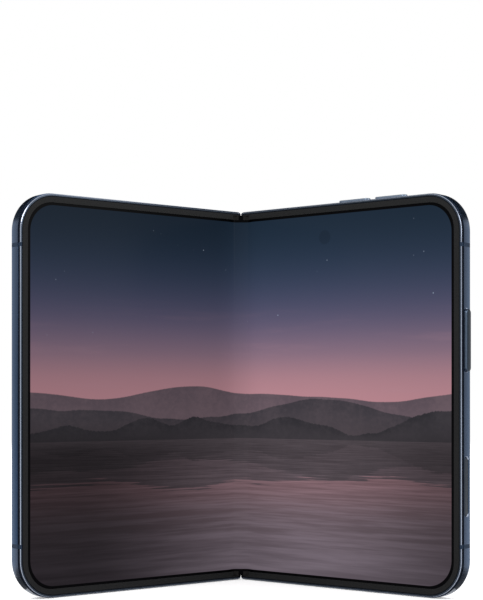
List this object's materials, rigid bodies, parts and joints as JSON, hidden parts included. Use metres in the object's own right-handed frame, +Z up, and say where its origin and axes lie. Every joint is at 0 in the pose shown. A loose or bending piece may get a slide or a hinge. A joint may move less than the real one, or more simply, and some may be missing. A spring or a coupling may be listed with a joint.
{
  "type": "foldable smartphone",
  "caption": "Book-format folding phone standing half open: two slim halves on a geared double-shaft hinge, with one display that bends across the spine.",
  "frame": {"origin": "centre of the bounding box on the surface that the phone stands on, at the bottom edge of both halves, half open", "axes": "+Z up along the hinge, +X to the right across the open display, +Y to the rear, away from the side that the display faces"},
  "size_m": [0.1358, 0.0562, 0.1217],
  "materials": {
    "rail_metal": "satin anodised blue, bright polished front chamfer",
    "antenna_band": "matt moulded blue-grey",
    "bezel": "matt black with a fine grain",
    "inner_display": "glossy lit picture under a clear film",
    "display_plate": "rolled",
    "support_strip": "rolled",
    "hinge_bracket": "sintered",
    "hinge_steel": "machined",
    "shaft_steel": "ground",
    "gear_brass": "machined",
    "spring_steel": "tempered, straw coloured",
    "screw_steel": "dark plated",
    "flex_cable": "amber film over copper",
    "battery": "foil pouch, satin",
    "board": "solder resist",
    "shield": "tinned",
    "magnet": "nickel plated",
    "cover_panel": "black panel",
    "cover_glass": "polished dark glass",
    "back_glass": "etched matt blue glass",
    "lens_glass": "coated, polished",
    "camera": "blackened",
    "flash": "clear ribbed lens over yellow phosphor",
    "coil": "wound copper",
    "port": "drawn steel shell",
    "speaker": "moulded",
    "haptic": "pressed",
    "key": "satin anodised, bright edge",
    "touch_key": "dark polished glass in a metal strip"
  },
  "bodies": {
    "spine": {"spine_cover": "rail_metal", "spine_cap_top": "rail_metal", "spine_cap_bottom": "rail_metal", "hinge_bracket_top": "hinge_bracket", "hinge_bracket_middle": "hinge_bracket", "hinge_bracket_bottom": "hinge_bracket", "hinge_shafts": "shaft_steel", "idler_axles": "shaft_steel", "disc_springs": "spring_steel", "hinge_screws": "screw_steel", "fold_support_strip": "support_strip", "display_bend": "inner_display", "hinge_flex_cables": "flex_cable"},
    "left_half": {"left_frame": "rail_metal", "left_bezel": "bezel", "left_display": "inner_display", "left_display_plate": "display_plate", "left_battery": "battery", "left_board": "board", "left_gear_arms": "hinge_steel", "left_middle_arm": "hinge_steel", "left_arm_screws": "screw_steel", "left_antenna_bands": "antenna_band", "left_magnets": "magnet", "cover_glass": "cover_glass", "cover_display": "cover_panel", "cover_camera": "camera", "receiver": "speaker"},
    "right_half": {"right_frame": "rail_metal", "right_bezel": "bezel", "right_display": "inner_display", "right_display_plate": "display_plate", "right_battery": "battery", "main_board": "board", "board_shield": "shield", "right_gear_arms": "hinge_steel", "right_middle_arm": "hinge_steel", "right_arm_screws": "screw_steel", "right_antenna_bands": "antenna_band", "right_magnets": "magnet", "back_glass": "back_glass", "camera_island": "rail_metal", "lens_covers": "lens_glass", "main_camera": "camera", "wide_camera": "camera", "flash_lamp": "flash", "inner_camera": "camera", "charging_coil": "coil", "usb_c_port": "port", "loudspeaker": "speaker", "haptic_motor": "haptic", "key_flex": "flex_cable"},
    "idler_left": {"idler_gear_left": "gear_brass"},
    "idler_right": {"idler_gear_right": "gear_brass"},
    "wing_left": {"wing_plate_left": "hinge_steel"},
    "wing_right": {"wing_plate_right": "hinge_steel"},
    "volume_up": {"volume_up_key": "key"},
    "volume_down": {"volume_down_key": "key"},
    "side_button": {"side_key": "key"},
    "touch_button": {"touch_key": "touch_key"}
  },
  "joints": [
    {"name": "fold_left", "type": "hinge", "parent": "spine", "child": "left_half", "pos_m": [-0.00215, 0.02428, 0.0605], "axis": [0, 0, 1], "range_deg": [-38.5, 51.5], "deforming": ["display_bend", "hinge_flex_cables"]},
    {"name": "fold_right", "type": "hinge", "parent": "spine", "child": "right_half", "pos_m": [0.00215, 0.02428, 0.0605], "axis": [0, 0, -1], "range_deg": [-38.5, 51.5], "deforming": ["display_bend", "hinge_flex_cables"]},
    {"name": "idler_left_turn", "type": "hinge", "parent": "spine", "child": "idler_left", "pos_m": [-0.00072, 0.02428, 0.0605], "axis": [0, 0, 1], "range_deg": [-51.5, 38.5]},
    {"name": "idler_right_turn", "type": "hinge", "parent": "spine", "child": "idler_right", "pos_m": [0.00072, 0.02428, 0.0605], "axis": [0, 0, 1], "range_deg": [-38.5, 51.5]},
    {"name": "wing_left_tilt", "type": "hinge", "parent": "left_half", "child": "wing_left", "pos_m": [-0.00556, 0.02077, 0.0605], "axis": [0, 0, 1], "range_deg": [-7.7, 10.3]},
    {"name": "wing_right_tilt", "type": "hinge", "parent": "right_half", "child": "wing_right", "pos_m": [0.00556, 0.02077, 0.0605], "axis": [0, 0, -1], "range_deg": [-7.7, 10.3]},
    {"name": "side_key_press", "type": "slide", "parent": "right_half", "child": "side_button", "axis": [-0.7826, 0.6225, 0], "range_m": [0, 0.0003], "stiffness_N_per_m": 6000},
    {"name": "touch_key_press", "type": "slide", "parent": "right_half", "child": "touch_button", "axis": [-0.7826, 0.6225, 0], "range_m": [0, 0.0003], "stiffness_N_per_m": 6000},
    {"name": "volume_up_press", "type": "slide", "parent": "right_half", "child": "volume_up", "axis": [0, 0, -1], "range_m": [0, 0.0003], "stiffness_N_per_m": 6000},
    {"name": "volume_down_press", "type": "slide", "parent": "right_half", "child": "volume_down", "axis": [0, 0, -1], "range_m": [0, 0.0003], "stiffness_N_per_m": 6000}
  ],
  "couplings": [
    {"joint": "fold_right", "follows": "fold_left", "ratio": 1},
    {"joint": "idler_left_turn", "follows": "fold_left", "ratio": -1},
    {"joint": "idler_right_turn", "follows": "fold_left", "ratio": 1},
    {"joint": "wing_left_tilt", "follows": "fold_left", "ratio": 0.2},
    {"joint": "wing_right_tilt", "follows": "fold_left", "ratio": 0.2}
  ]
}
